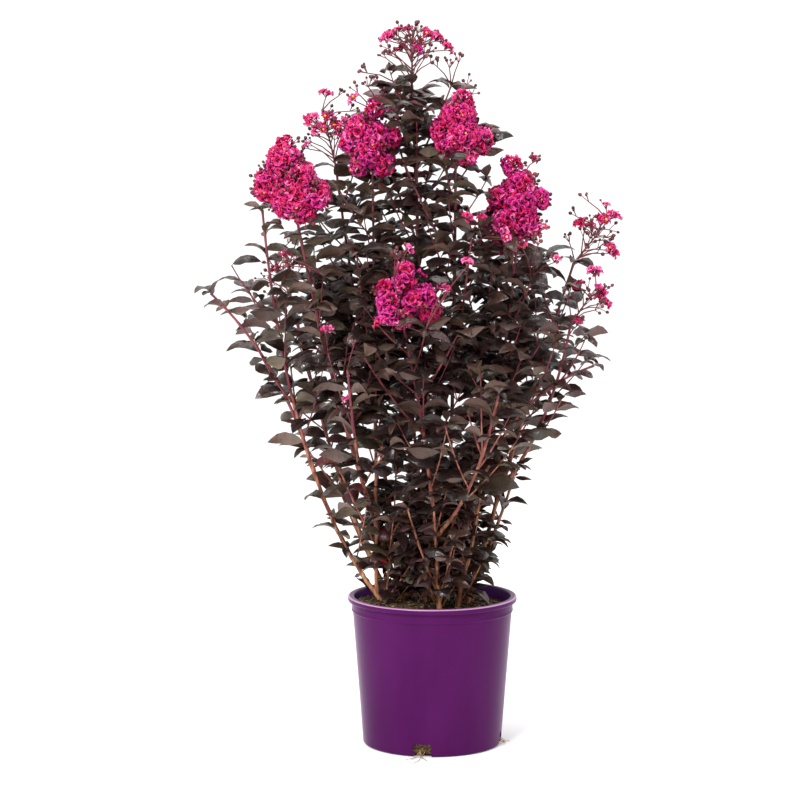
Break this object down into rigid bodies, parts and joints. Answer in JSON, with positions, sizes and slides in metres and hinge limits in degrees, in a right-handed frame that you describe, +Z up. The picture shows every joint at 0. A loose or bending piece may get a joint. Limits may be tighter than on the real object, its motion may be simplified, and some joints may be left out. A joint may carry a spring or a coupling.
{
  "type": "potted crape myrtle shrub",
  "caption": "Potted crape myrtle shrub: upright canes fanning from a round tapered nursery pot into a dark-leaved, vase-shaped crown with cones of pink blossom.",
  "frame": {"origin": "centre of the pot's flat underside, where the plant stands", "axes": "+Z up along the pot's axis, -Y towards the side that faces the viewer, +X to the viewer's right"},
  "size_m": [0.6862, 0.501, 1.189],
  "materials": {
    "pot": "smooth purple moulded plastic, satin gloss",
    "soil": "dark crumbly bark-based potting mix, matte",
    "bark": "smooth thin peeling bark, tan to orange-brown, matte",
    "foliage": "dark chocolate-maroon leaves with a soft sheen",
    "blossom": "matte crinkled magenta petals"
  },
  "bodies": {
    "root": {"bough_far_left_low": "bark", "bough_far_right": "bark", "bough_front_left": "bark", "bough_front_right": "bark", "bough_outer_right_low": "bark", "bough_upright": "bark", "cane_back": "bark", "cane_back_left": "bark", "cane_back_right": "bark", "cane_far_left": "bark", "cane_front": "bark", "cane_leader": "bark", "cane_left": "bark", "cane_outer_right": "bark", "cane_rear_right": "bark", "cane_right": "bark", "cane_upper_left": "bark", "cane_upper_right": "bark", "leaves_back": "foliage", "leaves_back_left": "foliage", "leaves_back_right": "foliage", "leaves_far_left": "foliage", "leaves_far_left_low": "foliage", "leaves_far_right": "foliage", "leaves_front": "foliage", "leaves_front_left": "foliage", "leaves_front_right": "foliage", "leaves_leader": "foliage", "leaves_left": "foliage", "leaves_outer_right": "foliage", "leaves_outer_right_low": "foliage", "leaves_rear_right": "foliage", "leaves_right": "foliage", "leaves_upper_left": "foliage", "leaves_upper_right": "foliage", "leaves_upright": "foliage", "low_leaves_back": "foliage", "low_leaves_back_left": "foliage", "low_leaves_back_right": "foliage", "low_leaves_far_left": "foliage", "low_leaves_front": "foliage", "low_leaves_front_left": "foliage", "low_leaves_front_right": "foliage", "low_leaves_left": "foliage", "low_leaves_rear_right": "foliage", "low_leaves_right": "foliage", "panicle_back": "blossom", "panicle_back_left": "blossom", "panicle_back_right": "blossom", "panicle_front": "blossom", "panicle_leader": "blossom", "panicle_left": "blossom", "panicle_outer_right": "blossom", "panicle_outer_right_low": "blossom", "panicle_right": "blossom", "panicle_upper_left": "blossom", "panicle_upper_right": "blossom", "panicle_upright": "blossom", "pot": "pot", "soil": "soil"}
  },
  "joints": []
}
